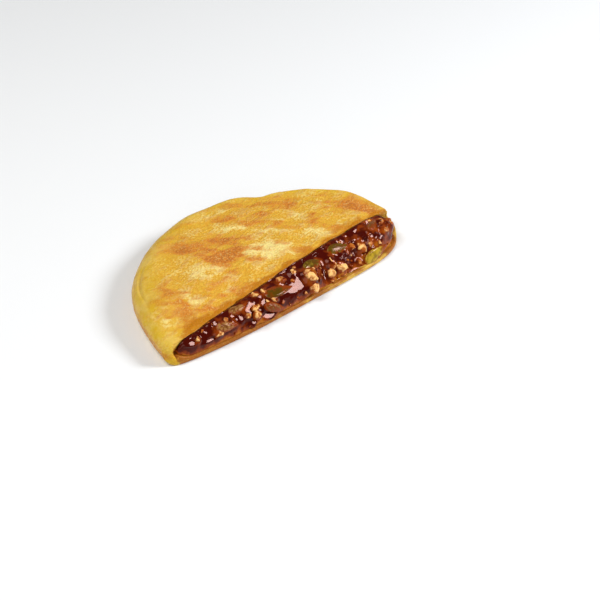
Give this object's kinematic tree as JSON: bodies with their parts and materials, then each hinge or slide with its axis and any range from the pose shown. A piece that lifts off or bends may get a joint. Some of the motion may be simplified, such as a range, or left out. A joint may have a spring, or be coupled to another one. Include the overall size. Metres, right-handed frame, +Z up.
{
  "type": "hotteok",
  "caption": "Half of a griddled yeast dough pancake, cut across to show a dark syrup filling with chopped peanuts, pumpkin seeds and sunflower seeds",
  "frame": {"origin": "on the floor under the flat bottom crust, 22 mm behind the cut and half way along it", "axes": "+X along the cut, to the right when looking at the filling; +Y from the cut towards the round back; +Z up"},
  "size_m": [0.1229, 0.069, 0.0128],
  "materials": {
    "griddled_dough": "golden griddled crust with browned patches and a thin film of oil",
    "dark_syrup": "wet dark brown sugar syrup over nuts and seeds"
  },
  "bodies": {
    "root": {"dough": "griddled_dough", "filling": "dark_syrup"}
  },
  "joints": []
}
